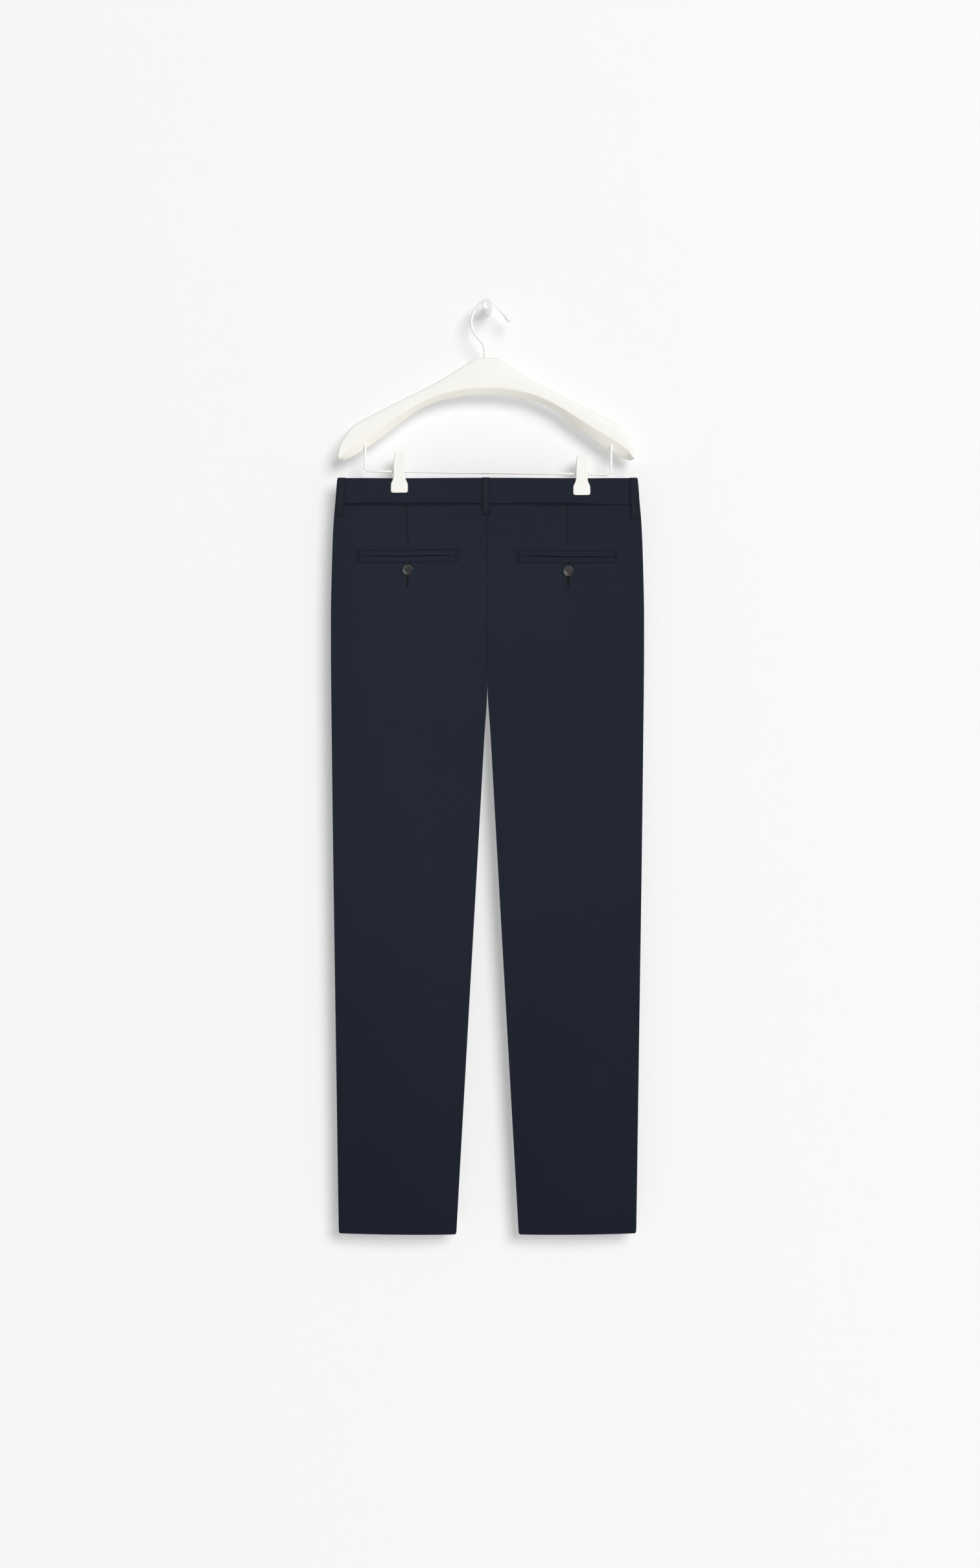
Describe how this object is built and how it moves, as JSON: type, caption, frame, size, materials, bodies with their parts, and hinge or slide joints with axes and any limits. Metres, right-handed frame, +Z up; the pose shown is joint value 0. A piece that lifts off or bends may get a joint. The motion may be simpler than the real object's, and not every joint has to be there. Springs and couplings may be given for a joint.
{
  "type": "chino trousers on a clip hanger",
  "caption": "Navy chino trousers hung flat by the waistband from the clips of a white moulded hanger, whose wire hook hangs on a round wall peg.",
  "frame": {"origin": "centre of the wall peg's flat end, on the wall", "axes": "+Z up along the trousers' length, +Y into the wall, +X to the wearer's right; the trousers' back faces -Y"},
  "size_m": [0.4382, 0.05, 1.3088],
  "materials": {
    "navy_twill": "fine cotton twill, matt with a faint nap",
    "horn": "mottled grey-brown horn, satin polish",
    "white_plastic": "smooth satin moulding",
    "white_wire": "white coated steel wire, semi-gloss",
    "peg": "pale gloss enamel"
  },
  "bodies": {
    "root": {"back_panel_left": "navy_twill", "back_panel_right": "navy_twill", "front_panel_left": "navy_twill", "front_panel_right": "navy_twill", "waistband_left": "navy_twill", "waistband_right": "navy_twill", "belt_loop_centre_back": "navy_twill", "belt_loop_side_left": "navy_twill", "belt_loop_side_right": "navy_twill", "belt_loop_front_left": "navy_twill", "belt_loop_front_right": "navy_twill", "back_welt_upper_left": "navy_twill", "back_welt_lower_left": "navy_twill", "back_welt_upper_right": "navy_twill", "back_welt_lower_right": "navy_twill", "front_pocket_edge_left": "navy_twill", "front_pocket_edge_right": "navy_twill", "fly_cover": "navy_twill", "back_button_left": "horn", "back_button_right": "horn", "waist_button": "horn", "hanger_body": "white_plastic", "clip_jaw_near_left": "white_plastic", "clip_jaw_far_left": "white_plastic", "clip_barrel_left": "white_plastic", "clip_jaw_near_right": "white_plastic", "clip_jaw_far_right": "white_plastic", "clip_barrel_right": "white_plastic", "hanger_hook": "white_wire", "clip_bar": "white_wire", "wall_peg": "peg"}
  },
  "joints": []
}
